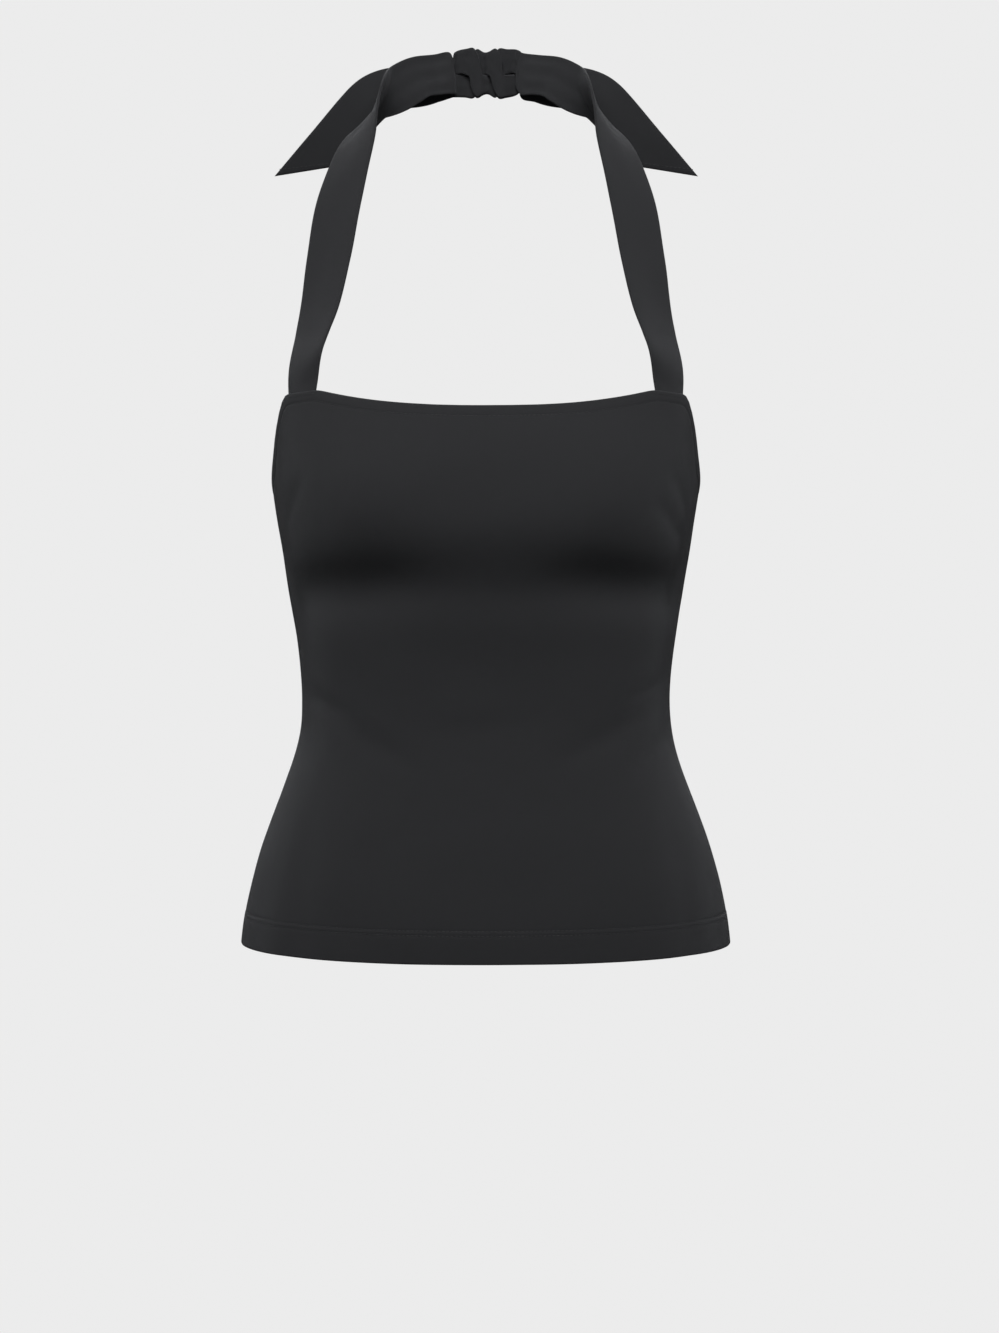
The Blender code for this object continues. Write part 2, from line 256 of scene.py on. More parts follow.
def sunk(up_edge, down_edge, from_seam):
    """How far the outer face lies in at the stitches, the folded edges and the side seams."""
    sink = SEAM_SINK * np.exp(-((from_seam / SEAM_SINK_WIDE) ** 2))
    for off_stitch in [up_edge - NECK_STITCH] + [down_edge - stitch for stitch in HEM_STITCHES]:
        sink += STITCH_SINK * np.exp(-((off_stitch / STITCH_SINK_WIDE) ** 2))
    for edge, last_stitch in ((up_edge, NECK_STITCH), (down_edge, HEM_STITCHES[-1])):
        sink -= DOUBLE_RISE * np.clip((last_stitch - edge) / DOUBLE_RUN, 0, 1)
        inside = np.clip(1 - edge / EDGE_ROUND, 0, 1)
        sink += EDGE_ROUND * EDGE_DROP * (1 - np.sqrt(1 - inside ** 2))
    return sink


def noise_at(*place):
    """Smooth noise from -1 to 1 at places whose three coordinates broadcast."""
    x, y, z = np.broadcast_arrays(*place)
    return np.array([noise.noise(Vector(p)) for p in zip(x.flat, y.flat, z.flat)]).reshape(x.shape)


def unevenness(points, shift):
    """How far the cloth stands out at each point, in long waves and in short ones."""
    x, y, z = points.T
    across, up = LONG_WAVES
    uneven = noise_at(x * across + shift, y * across, z * up) * LONG_WAVE_DEEP
    across, up = SHORT_WAVES
    return uneven + noise_at(x * across, y * across + shift, z * up) * SHORT_WAVE_DEEP


def new_mesh(name, points, faces, edges=()):
    """A mesh of an array of points, with faces or edges between them."""
    mesh = bpy.data.meshes.new(name)
    mesh.from_pydata(points.reshape(-1, 3).tolist(), edges, faces)
    return mesh


def lay_cloth(mesh, across, along):
    """Gives a mesh its UV map: each point's place on the cloth in metres, across the wales and along."""
    places = np.stack(np.broadcast_arrays(across, along), axis=-1).reshape(-1, 2)
    corners = np.zeros(len(mesh.loops), np.int32)
    mesh.loops.foreach_get("vertex_index", corners)
    layer = mesh.uv_layers.new(name="cloth")
    layer.uv.foreach_set("vector", places[corners].astype(np.float32).ravel())


def new_object(name, data):
    """An object at the origin, in the scene."""
    made = bpy.data.objects.new(name, data)
    bpy.context.scene.collection.objects.link(made)
    return made


def normals_of(mesh):
    """The direction in which the mesh faces at each of its points."""
    return np.array([v.normal[:] for v in mesh.vertices])


def panel_piece(name, centre_turn, creases, shift):
    """A panel between the side seams as a thin closed shell. shift moves its unevenness along."""
    turns, ups, up_edge, down_edge = panel_grid(centre_turn)
    points = form_points(turns, ups)
    steps = np.linalg.norm(np.diff(points[:, :, :2], axis=1), axis=2)
    out = np.concatenate([np.zeros((len(ups), 1)), np.cumsum(steps, axis=1)], axis=1)
    from_seam = np.minimum(out, out[:, -1:] - out)
    out = out - out[:, -1:] / 2
    calm = 1 - np.exp(-((from_seam / CREASE_FREE) ** 2))
    rise = crease_depth(creases, out, ups) * calm - sunk(up_edge, down_edge, from_seam)

    row_count, columns = ups.shape
    firsts = [r * columns + c for r in range(row_count - 1) for c in range(columns - 1)]
    faces = [(first, first + 1, first + columns + 1, first + columns) for first in firsts]
    points = points.reshape(-1, 3)
    mesh = new_mesh(name, points, faces)
    normals = normals_of(mesh)
    moved = points + normals * (rise.ravel() + unevenness(points, shift))[:, None]
    mesh.vertices.foreach_set("co", moved.astype(np.float32).ravel())
    mesh.update()
    normals = normals_of(mesh)
    lay_cloth(mesh, out, ups)
    mesh.update()
    mesh.shade_smooth()
    piece = new_object(name, mesh)

    second = np.maximum(
        np.clip((NECK_TURNED - up_edge) / LAYER_RUN + 0.5, 0, 1),
        np.clip((HEM_TURNED - down_edge) / LAYER_RUN + 0.5, 0, 1),
    )
    layers = piece.vertex_groups.new(name="layers")
    for i, share in enumerate(second.ravel()):
        layers.add([i], (1 + float(share)) / 2, "REPLACE")
    wall = piece.modifiers.new("cloth", "SOLIDIFY")
    wall.thickness = DOUBLED
    wall.offset = -1.0
    wall.use_even_offset = False
    wall.vertex_group = "layers"
    return piece, Face(moved.reshape(*ups.shape, 3), normals.reshape(*ups.shape, 3), turns)


def as_mesh(piece):
    """The piece with its modifiers made part of its mesh."""
    depsgraph = bpy.context.evaluated_depsgraph_get()
    made = bpy.data.meshes.new_from_object(piece.evaluated_get(depsgraph))
    piece.modifiers.clear()
    piece.data = made
    return piece


# Knit: a wale is one upright line of stitches and a course one row of them
WALE = 0.00072
COURSE = 0.00056
WANDER_SCALE = 180.0  # how often the wales wander, and by what share of a wale
WANDER = 0.9
LEG_AT = 0.25         # where a stitch's two legs lie, in wales from its middle
LEG_CLIMB = 1.3       # how far they climb outwards, in courses a wale
LOOP_RELIEF = 0.22    # how much lower each loop's ends lie
# Painted shade: the base colour goes darker in the knit's valleys than on its yarn's tops. The mottle is
# the yarn's own uneven tone
VALLEY_SHADE_SPREAD = 0.6
MOTTLE_SIZE = 0.006
MOTTLE_CONTRAST = 0.5
VALLEY_SHADE_CONTRAST = 0.85
ROUGH_LEAST = 0.72
ROUGH_SPREAD = 0.16
KNIT_DEEP = 0.00018
# The base colour's dark end, painted shade in the valleys and the mottle's darker tone, and its light end,
# the lit yarn and the mottle's lighter tone
VALLEY_SHADE_AND_TONE_GREY = (0.0159, 0.0162, 0.0178, 1.0)
LIT_YARN_AND_TONE_GREY = (0.0297, 0.0304, 0.0335, 1.0)


def feed(tree, socket, source):
    """Gives an input a value or another node's output."""
    if isinstance(source, bpy.types.NodeSocket):
        tree.links.new(source, socket)
    else:
        socket.default_value = source


def set_inputs(tree, node, **inputs):
    """Feeds a node's inputs by their names, in which _ stands for a space."""
    for name, source in inputs.items():
        feed(tree, node.inputs[name.replace("_", " ")], source)


def add_node(tree, kind, settings=(), **inputs):
    """A node's outputs, for its settings and its inputs."""
    node = tree.nodes.new(kind)
    for name, value in dict(settings).items():
        setattr(node, name, value)
    set_inputs(tree, node, **inputs)
    return node.outputs


def add_math(tree, operation, *values):
    """A Math node's output, for values that are each a number or another node's output."""
    node = tree.nodes.new("ShaderNodeMath")
    node.operation = operation
    for socket, source in zip(node.inputs, values):
        feed(tree, socket, source)
    return node.outputs[0]


def new_tree(name, kind, inputs, outputs):
    """A node group with these inputs and outputs. Returns it, its inputs' values and its end."""
    tree = bpy.data.node_groups.new(name, kind)
    for socket, what, *value in inputs:
        made = tree.interface.new_socket(socket, in_out="INPUT", socket_type="NodeSocket" + what)
        if value:
            made.default_value = value[0]
    for socket, what in outputs:
        tree.interface.new_socket(socket, in_out="OUTPUT", socket_type="NodeSocket" + what)
    return tree, tree.nodes.new("NodeGroupInput").outputs, tree.nodes.new("NodeGroupOutput")


def knit_group():
    """Double jersey's face: V-shaped stitches in upright wales, a little uneven, with a mask for painted
    shade in the knit's valleys.
    """
    tree, given, result = new_tree(
        "jersey_knit", "ShaderNodeTree",
        [("Place", "Vector"), ("Wale", "Float", WALE), ("Course", "Float", COURSE),
         ("Mottle Size", "Float", MOTTLE_SIZE)],
        [("Height", "Float"), ("Yarn", "Float"), ("Mottle", "Float")],
    )
    math = partial(add_math, tree)
    wobble = add_node(tree, "ShaderNodeTexNoise", Scale=WANDER_SCALE, Vector=given["Place"])
    parts = add_node(tree, "ShaderNodeSeparateXYZ", Vector=given["Place"])
    drift = math("MULTIPLY", math("SUBTRACT", wobble["Fac"], 0.5), WALE * WANDER)
    across = math("DIVIDE", math("ADD", parts["X"], drift), given["Wale"])
    side = math("ABSOLUTE", math("SUBTRACT", math("FRACT", across), 0.5))
    off_leg = math("DIVIDE", math("SUBTRACT", side, LEG_AT), LEG_AT)
    leg = math("SUBTRACT", 1.0, math("POWER", math("ABSOLUTE", off_leg), 2.0))
    climb = math("DIVIDE", parts["Y"], given["Course"])
    climb = math("ADD", climb, math("MULTIPLY", side, LEG_CLIMB))
    loop = math("SINE", math("MULTIPLY", climb, 2 * pi))
    loop = math("MULTIPLY_ADD", loop, LOOP_RELIEF, 1 - LOOP_RELIEF)
    height = math("MULTIPLY", leg, loop)
    mottle_scale = math("DIVIDE", 1.0, given["Mottle Size"])
    mottle = add_node(
        tree, "ShaderNodeTexNoise", Detail=4.0, Roughness=0.65, Vector=given["Place"], Scale=mottle_scale,
    )
    # A mask for painted shade: low in the knit's valleys, high on its yarn
    valley_shade = math("POWER", height, VALLEY_SHADE_SPREAD)
    set_inputs(tree, result, Height=height, Yarn=valley_shade, Mottle=mottle["Fac"])
    return tree


KNIT = knit_group()


def new_material(name):
    """A material, its node tree and its shader."""
    material = bpy.data.materials.new(name)
    material.use_nodes = True
    return material, material.node_tree, material.node_tree.nodes["Principled BSDF"]


def shaded(tree, dark, light, share):
    """The colour at a share of the way from the dark one to the light one."""
    return add_node(tree, "ShaderNodeMix", {"data_type": "RGBA"}, A=dark, B=light, Factor=share)["Result"]


def jersey_material(name):
    """Matt charcoal jersey for one piece, which reads that piece's UV map, in metres."""
    material, tree, shader = new_material(name)
    place = add_node(tree, "ShaderNodeUVMap", {"uv_map": "cloth"})
    knit = add_node(tree, "ShaderNodeGroup", {"node_tree": KNIT}, Place=place["UV"])
    # Base colour: the mottle's own uneven tone, and painted shade that darkens the knit's valleys
    light = add_math(tree, "MULTIPLY_ADD", knit["Mottle"], MOTTLE_CONTRAST, -MOTTLE_CONTRAST / 2)
    light = add_math(tree, "ADD", add_math(tree, "MULTIPLY", knit["Yarn"], VALLEY_SHADE_CONTRAST), light)
    rough = add_math(tree, "MULTIPLY_ADD", knit["Mottle"], ROUGH_SPREAD, ROUGH_LEAST)
    bump = add_node(tree, "ShaderNodeBump", Strength=0.7, Distance=KNIT_DEEP, Height=knit["Height"])
    set_inputs(
        tree, shader, Base_Color=shaded(tree, VALLEY_SHADE_AND_TONE_GREY, LIT_YARN_AND_TONE_GREY, light), Roughness=rough,
        Normal=bump["Normal"], Specular_IOR_Level=0.35, Sheen_Weight=0.12, Sheen_Roughness=0.45,
        Sheen_Tint=(0.80, 0.82, 0.88, 1.0),
    )
    return material


def dress(piece, material, slot, *nodes):
    """Gives a finished piece its material and its body, and hides the solids that it stands for."""
    piece.data.materials.clear()
    piece.data.materials.append(material)
    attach(piece, "root")
    if nodes:
        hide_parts(*nodes)


# Soft troughs, and ridges where deep is above 0: under and between the breasts and round the midriff, from
# the bust to the armholes, at the waist, and upright flutes at the hem. out is along the cloth from the
# centre front
FRONT_CREASES = [
    Crease(-0.097, -0.354, 4, 0.116, 0.0178, -0.0064),
    Crease(0.104, -0.354, -5, 0.110, 0.0174, -0.0069),
    Crease(0.003, -0.288, 2, 0.136, 0.0300, -0.0036),
    Crease(0.002, -0.373, -1, 0.122, 0.0230, 0.0040),
    Crease(0.000, -0.426, 0, 0.230, 0.0500, 0.0030),
    Crease(-0.146, -0.296, 52, 0.040, 0.0060, -0.0009),
    Crease(0.150, -0.291, -47, 0.036, 0.0055, -0.0008),
    Crease(0.141, -0.312, -38, 0.044, 0.0062, -0.0010),
    Crease(-0.118, -0.431, -17, 0.052, 0.0062, -0.0012),
    Crease(-0.084, -0.452, -29, 0.082, 0.0085, -0.0012),
    Crease(0.121, -0.421, 19, 0.047, 0.0058, -0.0010),
    Crease(0.089, -0.449, 26, 0.088, 0.0090, -0.0013),
    Crease(0.126, -0.462, 31, 0.050, 0.0066, -0.0008),
    Crease(-0.010, -0.447, 3, 0.070, 0.0100, -0.0006),
    Crease(-0.128, -0.556, 84, 0.110, 0.0140, -0.0014),
    Crease(-0.052, -0.570, 91, 0.085, 0.0150, 0.0010),
    Crease(0.028, -0.566, 88, 0.095, 0.0170, -0.0010),
    Crease(0.140, -0.552, 97, 0.120, 0.0150, -0.0013),
]

front, front_face = panel_piece("front_cloth", 0.0, FRONT_CREASES, 3.1)
dress(as_mesh(front), jersey_material("front_jersey"), "front_jersey", "front_panel")


# Its stitches: a polyester thread of the cloth's own grey, in rows that follow the turned edges
STITCH_STEP = 0.0029  # from one stitch to the next
STITCH_LONG = 0.0022
STITCH_SIDES = 6
THREAD = 0.00019      # half a thread's thickness
THREAD_SIDES = 5
STITCH_UP = 0.00006   # how far a thread's middle lies above the cloth
# The thread's twist: its grooves are painted darker and its ribs lighter, as painted shade
THREAD_GREY = (0.036, 0.0365, 0.040)
THREAD_GROOVE_SHADE = 0.7     # its twist's shades, as shares of that grey
THREAD_RIB_LIT = 1.25


def end_tree(tree, result, shape, material):
    """Ends a tree: what it has made is made real and gets its material."""
    real = add_node(tree, "GeometryNodeRealizeInstances", Geometry=shape)
    done = add_node(tree, "GeometryNodeSetMaterial", Geometry=real["Geometry"], Material=material)
    feed(tree, result.inputs[0], done["Geometry"])
    return tree


def stitch_tree():
    """Lays one short rounded thread after another along a path, flat on the cloth."""
    tree, given, result = new_tree(
        "stitch_row", "GeometryNodeTree",
        [("Path", "Geometry"), ("Step", "Float", STITCH_STEP), ("Long", "Float", STITCH_LONG),
         ("Thread", "Float", THREAD), ("Finish", "Material")],
        [("Stitches", "Geometry")],
    )
    curve = add_node(tree, "GeometryNodeMeshToCurve", Mesh=given["Path"])
    points = add_node(
        tree, "GeometryNodeResampleCurve", {"mode": "LENGTH"}, Curve=curve["Curve"], Length=given["Step"],
    )
    ball = add_node(tree, "GeometryNodeMeshUVSphere", Segments=STITCH_SIDES, Rings=STITCH_SIDES, Radius=1.0)
    level = add_node(tree, "GeometryNodeTransform", Geometry=ball["Mesh"], Rotation=(0.0, pi / 2, 0.0))
    smooth = add_node(tree, "GeometryNodeSetShadeSmooth", Geometry=level["Geometry"])
    half_long = add_math(tree, "MULTIPLY", given["Long"], 0.5)
    size = add_node(tree, "ShaderNodeCombineXYZ", X=half_long, Y=given["Thread"], Z=given["Thread"])
    tangent = add_node(tree, "GeometryNodeInputTangent")
    outward = add_node(
        tree, "GeometryNodeInputNamedAttribute", {"data_type": "FLOAT_VECTOR"}, Name="outward",
    )
    align = "FunctionNodeAlignRotationToVector"
    along = add_node(tree, align, {"axis": "X"}, Vector=tangent["Tangent"])
    flat = add_node(
        tree, align, {"axis": "Z", "pivot_axis": "X"},
        Rotation=along["Rotation"], Vector=outward["Attribute"],
    )
    laid = add_node(
        tree, "GeometryNodeInstanceOnPoints", Points=points["Curve"], Instance=smooth["Geometry"],
        Rotation=flat["Rotation"], Scale=size["Vector"],
    )
    return end_tree(tree, result, laid["Instances"], given["Finish"])


def looper_tree():
    """Sweeps a round thread along a path, as the looper thread lies on the inside."""
    tree, given, result = new_tree(
        "looper_thread", "GeometryNodeTree",
        [("Path", "Geometry"), ("Thread", "Float", THREAD), ("Finish", "Material")],
        [("Looper", "Geometry")],
    )
    curve = add_node(tree, "GeometryNodeMeshToCurve", Mesh=given["Path"])
    ring = add_node(
        tree, "GeometryNodeCurvePrimitiveCircle", Resolution=THREAD_SIDES, Radius=given["Thread"],
    )
    swept = add_node(
        tree, "GeometryNodeCurveToMesh", Curve=curve["Curve"], Profile_Curve=ring["Curve"], Fill_Caps=True,
    )
    return end_tree(tree, result, swept["Mesh"], given["Finish"])


STITCHES = stitch_tree()
LOOPER = looper_tree()


def thread_material():
    """Twisted polyester: a little glossier than the cloth, with its twist as fine slanted ribs, and painted
    shade that darkens their grooves.
    """
    material, tree, shader = new_material("thread")
    place = add_node(tree, "ShaderNodeTexCoord")
    twist = add_node(tree, "ShaderNodeTexNoise", Scale=2400.0, Vector=place["Object"])["Fac"]
    shares = (THREAD_GROOVE_SHADE, THREAD_RIB_LIT)
    # Painted shade: the twist's grooves darker, its ribs lighter
    dark, light = ((*(value * share for value in THREAD_GREY), 1.0) for share in shares)
    bump = add_node(tree, "ShaderNodeBump", Strength=0.5, Distance=0.0001, Height=twist)
    set_inputs(
        tree, shader, Base_Color=shaded(tree, dark, light, twist), Normal=bump["Normal"], Roughness=0.48,
    )
    return material


THREAD_FINISH = thread_material()


def sewn(name, tree, paths, slot, **sizes):
    """Threads along paths as one mesh. Each path is an array of points with their outward directions."""
    places, outwards, edges = [], [], []
    for points, outward in paths:
        first = len(places)
        places += (points + outward * STITCH_UP).tolist()
        outwards += outward.tolist()
        edges += [(first + i, first + i + 1) for i in range(len(points) - 1)]
    mesh = new_mesh(name, np.array(places), [], edges)
    attribute = mesh.attributes.new("outward", "FLOAT_VECTOR", "POINT")
    attribute.data.foreach_set("vector", np.array(outwards, dtype=np.float32).ravel())
    piece = new_object(name, mesh)
    laid = piece.modifiers.new("thread", "NODES")
    laid.node_group = tree
    sockets = {item.name: item.identifier for item in tree.interface.items_tree if item.in_out == "INPUT"}
    for socket, value in dict(sizes, Thread=THREAD, Finish=THREAD_FINISH).items():
        laid[sockets[socket]] = value
    as_mesh(piece)
    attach(piece, "root")
    return piece


def stitch_rows(name, paths, slot):
    """Rows of straight stitches."""
    return sewn(name, STITCHES, paths, slot, Step=STITCH_STEP, Long=STITCH_LONG)


def even_along(points, others, step):
    """Even steps along a path: how far along each is, and the point and what goes with it there."""
    lengths = np.concatenate([[0.0], np.cumsum(np.linalg.norm(np.diff(points, axis=0), axis=1))])
    at = np.linspace(0.0, lengths[-1], round(lengths[-1] / step) + 1)
    found = (
        np.stack([np.interp(at, lengths, column) for column in values.T], axis=-1)
        for values in (points, others)
    )
    return at, *found


def by_turns(lower, upper):
    """One line's first place, the other line's second one, and so on."""
    count = min(len(lower), len(upper))
    return np.where((np.arange(count) % 2)[:, None], upper[:count], lower[:count])


def zigzag(face, low, high):
    """A thread that goes to and fro between two of a face's rows, inside the doubled cloth."""
    _, *lower = even_along(face.points[low], face.normals[low], STITCH_STEP / 2)
    _, *upper = even_along(face.points[high], face.normals[high], STITCH_STEP / 2)
    points, outward = map(by_turns, lower, upper)
    return points - outward * DOUBLED, -outward


def row_at(places, place):
    """Which row of mesh lies at a distance in from the edge."""
    return places.index(round(place, 6))


HEM_STITCH_ROWS = [row_at(HEM_ROWS, stitch) for stitch in HEM_STITCHES]
NECK_STITCH_ROW = -1 - row_at(NECK_ROWS, NECK_STITCH)
NECK_ZIGZAG_ROWS = [-1 - row_at(NECK_ROWS, NECK_STITCH + d) for d in (CLOSE[0], CLOSE[-1])]


def panel_sewing(name, face, slot):
    """A panel's stitch rows on its outer face, and the looper threads behind them."""
    outer = [(face.points[row], face.normals[row]) for row in HEM_STITCH_ROWS + [NECK_STITCH_ROW]]
    inner = [zigzag(face, *rows) for rows in (HEM_STITCH_ROWS, NECK_ZIGZAG_ROWS)]
    return [stitch_rows(name + "_stitches", outer, slot), sewn(name + "_looper", LOOPER, inner, slot)]


front_sewing = panel_sewing("front", front_face, "front_jersey")


# ---- Back panel ----------------------------------------------------------------------
# One piece of the same jersey, cut straight across low on the back and turned in there. It hollows at the
# waist, where it lies in soft level creases.
BACK_CREASES = [
    Crease(-0.012, -0.404, 3, 0.150, 0.0085, -0.0022),
    Crease(0.026, -0.423, -2, 0.172, 0.0080, -0.0028),
    Crease(-0.030, -0.441, -4, 0.128, 0.0088, -0.0026),
    Crease(0.040, -0.460, 3, 0.110, 0.0095, -0.0018),
    Crease(-0.112, -0.418, 14, 0.066, 0.0064, -0.0011),
    Crease(0.118, -0.436, -16, 0.060, 0.0068, -0.0012),
    Crease(-0.128, -0.470, 28, 0.070, 0.0080, -0.0010),
    Crease(0.088, -0.330, 12, 0.070, 0.0110, -0.0008),
    Crease(-0.070, -0.352, -9, 0.090, 0.0120, -0.0009),
    Crease(-0.098, -0.562, 86, 0.105, 0.0150, -0.0014),
    Crease(-0.020, -0.568, 92, 0.090, 0.0160, 0.0011),
    Crease(0.070, -0.560, 90, 0.110, 0.0150, -0.0012),
    Crease(0.146, -0.566, 95, 0.085, 0.0130, 0.0008),
]
back, back_face = panel_piece("back_cloth", 180.0, BACK_CREASES, 8.7)
dress(as_mesh(back), jersey_material("back_jersey"), "back_jersey", "back_panel")
back_sewing = panel_sewing("back", back_face, "back_jersey")


# ---- Side seams ----------------------------------------------------------------------
# The panels are overlocked together at each side. The allowance, two layers of jersey, lies towards the
# back on the inside and over the turned hem and upper edge.
ALLOWANCE_WIDE = 0.0065
ALLOWANCE_THICK = 0.0019
ALLOWANCE_LAPS = 0.0012      # how far it reaches past the seam to the front
ALLOWANCE_SHORT = 0.0012     # how far it stops from the edges
ALLOWANCE_CLEAR = 0.0004
ALLOWANCE_STEP = 0.003
ALLOWANCE_COLUMNS = 7
ALLOWANCE_UNEVEN = 0.0004
ALLOWANCE_WAVES = (300, 60)  # waves a metre across and up
ALLOWANCE_THINS = 0.7        # share of its thickness that it loses towards its edges
ALLOWANCE_SQUARE = 6         # and how suddenly
OVERLOCK_WIDE = 0.0045
OVERLOCK_STEP = 0.0016


def smooth_step(share):
    """0 up to 0 and 1 from 1, with a smooth rise between."""
    share = np.clip(share, 0, 1)
    return share * share * (3 - 2 * share)


def unit(vectors):
    """The vectors at a length of one."""
    return vectors / np.linalg.norm(vectors, axis=-1, keepdims=True)


def round_faces(first, rows, around):
    """Quads round rows of points, from the point with this number on."""
    starts = range(first, first + (rows - 1) * around, around)
    return [
        (a + c, a + (c + 1) % around, a + around + (c + 1) % around, a + around + c)
        for a in starts for c in range(around)
    ]


def allowance(name, side):
    """The allowance inside one side seam, with its overlock thread. side is 1 on the wearer's left."""
    top, bottom = (np.interp(90, form.turns, edge) for edge in (form.top, form.bottom))
    count = round((top - bottom) / ALLOWANCE_STEP)
    ups = np.linspace(bottom + ALLOWANCE_SHORT, top - ALLOWANCE_SHORT, count)
    across = np.linspace(-ALLOWANCE_LAPS, ALLOWANCE_WIDE - ALLOWANCE_LAPS, ALLOWANCE_COLUMNS)
    seam = form_points(90.0, ups)
    seam_reach = np.linalg.norm(seam[:, :2] - (0, SIDE_SEAM_Y), axis=1)
    turns = 90 + np.degrees(across[None, :] / seam_reach[:, None])
    face = form_points(turns, ups[:, None])
    inward = unit(np.stack([-np.sin(np.radians(turns)), np.cos(np.radians(turns)), 0 * turns], axis=-1))
    waves, waves_up = ALLOWANCE_WAVES
    uneven = noise_at(side, across * waves, ups[:, None] * waves_up)
    second = np.maximum(
        smooth_step((NECK_TURNED + DOUBLED - (top - ups)) / JERSEY),
        smooth_step((HEM_TURNED + DOUBLED - (ups - bottom)) / JERSEY),
    )
    layers = JERSEY * (1 + second)[:, None]
    depth = layers + SEAM_SINK + ALLOWANCE_CLEAR + ALLOWANCE_UNEVEN * (uneven + 0.5)
    thinner = 1 - ALLOWANCE_THINS * np.abs(np.linspace(-1, 1, len(across))) ** ALLOWANCE_SQUARE
    middle = depth + ALLOWANCE_THICK / 2
    outer, inner = (
        face + inward * (middle + k * ALLOWANCE_THICK / 2 * thinner)[..., None] for k in (-1, 1)
    )
    mirror = (side, 1, 1)
    ring = np.concatenate([outer, inner[:, ::-1]], axis=1) * mirror
    around = ring.shape[1]
    faces = round_faces(0, len(ups), around)
    last = (len(ups) - 1) * around
    faces += [tuple(range(around))[::-1], tuple(range(last, last + around))]
    if side > 0:
        faces = [quad[::-1] for quad in faces]
    mesh = new_mesh(name, ring, faces)
    lay_cloth(mesh, np.concatenate([across, across[::-1]]), ups[:, None])
    mesh.shade_smooth()
    piece = new_object(name, mesh)
    _, points, out = even_along(inner[:, -1] * mirror, inward[:, -1] * mirror, OVERLOCK_STEP)
    _, reach, _ = even_along(inner[:, 1] * mirror, inward[:, 1] * mirror, OVERLOCK_STEP)
    path = by_turns(points, points + (reach - points) * (OVERLOCK_WIDE / ALLOWANCE_WIDE))
    sewn(name + "_overlock", LOOPER, [(path, out)], "back_jersey")
    return piece


side_jersey = jersey_material("side_seam_jersey")
for name, side in (("side_seam_right", -1), ("side_seam_left", 1)):
    dress(allowance(name, side), side_jersey, "back_jersey")


# ---- Ties ----------------------------------------------------------------------------
# Two turned tubes of the same jersey, pressed flat, with their seam along the inner edge. Each is caught
# behind a top corner of the front, and both are tied in a reef knot at the nape, pulled flat. Their cut
# ends are turned in on the slant and hang free beside the knot.
TIE_WIDTH = 0.0325
TIE_THICK = DOUBLED
TIE_TUCK = 0.0075               # how far a tie reaches down behind the front's edge
TIE_FOOT_TURNS = (59.0, 73.2)   # where its inner and outer edge meet the front, from the centre front
TIE_CLEAR = 0.0004              # between it and the front's cloth there
TIE_BEHIND = DOUBLED + TIE_CLEAR + TIE_THICK / 2
TIE_RISE = 0.034                # height over which it comes from behind the edge to stand over it
TIE_BLEND = 0.042               # and to its own line
TIE_UNCURL = 0.048              # and until it is flat across
TUCK_NARROW = 0.01              # shares of its width and thickness that the stitches take there
TUCK_FLAT = 0.25
NEAR_UP = 0.004
TIE_COLUMNS = 24
TIE_STEP = 0.0013
FINE_STEPS = 16                 # finer rows between two of the rows below
LINE_SOFTEN = 2
TIE_UNEVEN = 0.0006
TIE_WAVES = (0.9, 28)           # waves from the middle to an edge, and a metre along
TIE_SEAM_IN = 0.0014            # its lengthwise seam, from its inner edge
TIE_SEAM_WIDE = 0.0005
TIE_SEAM_SINK = 0.00018
HOLLOW_LEAST = 0.00006          # half the hollow inside the tube
END_STITCH = 0.0055             # the stitch row across its free end, from the end
END_ROUND = (0.45, 0.80, 0.95)  # how full the last three steps before it are
TAIL_CUT = 40.0                 # the free end's angle to the tie's length, in degrees
TAIL_CUT_RUN = 0.070
UPRIGHT_OUT = 0.034             # the sections stand upright as far out as this
SQUARE_OUT = 0.052              # and square to the tie's length from here on
KNOT_CENTRE_Y = 0.0072
KNOT_CENTRE_UP = -0.0032
KNOT_HALF_UP = 0.0082
KNOT_AREA = 0.000064            # of the folded tie's section: width times thickness
KNOT_REACH = 0.030              # how far out the knot shapes the section
KNOT_EASE = 0.008
KNOT_THICKEST = 0.0031
KNOT_OVAL = 0.6                 # how far a strand there is oval, not flat
KNOT_SQUARE = 0.27              # that oval's power: the less, the squarer
KNOT_GROOVE = 0.00016
KNOT_GROOVES = 1.1              # waves from the middle to an edge
GATHERS_OUT = 0.085             # where the gathers beside the knot have faded
GATHER_FADE = 1.5
GATHER_DEEP = 0.0007
GATHERS = 1.35                  # waves from the middle to an edge
WANDER_WAVES = 9                # gathers and grooves wander, in waves a metre along
GATHER_WANDER = 0.8
GROOVE_WANDER = 1.5
MEET_FROM = 0.42                # the ties meet in a plane where each lies in its half at least this far
MEET_EASE = 0.26
MEET_SLOPE = 0.30               # that plane's rise towards the back
MEET_GAP = 0.00015

# In the knot each tie is folded to half its width. layer is how far the strap's strand lies before the
# knot's middle, and half is -1 in the tie's own half of the knot's height and 1 in the other tie's
Bend = namedtuple("Bend", "out layer half wide facing")
KNOT_BENDS = [
    Bend(0.0210, 0.0033, -0.88, 0.0180, 180),
    Bend(0.0145, 0.0020, -0.91, 0.0180, 180),
    Bend(0.0076, 0.0020, 0.0, 0.0325, 180),
    Bend(0.0018, 0.0021, 0.72, 0.0168, 180),
    Bend(-0.0018, 0.0056, 0.72, 0.0168, 180),
    Bend(-0.0076, 0.0058, 0.0, 0.0325, 180),
    Bend(-0.0138, 0.0057, -0.89, 0.0182, 177),
    Bend(-0.0186, 0.0043, -0.88, 0.0168, 145),
    Bend(-0.0211, 0.0021, -0.84, 0.0154, 114),
]
KNOT_TURN = Bend(-0.0215, 0.0, -0.82, 0.0150, 90)

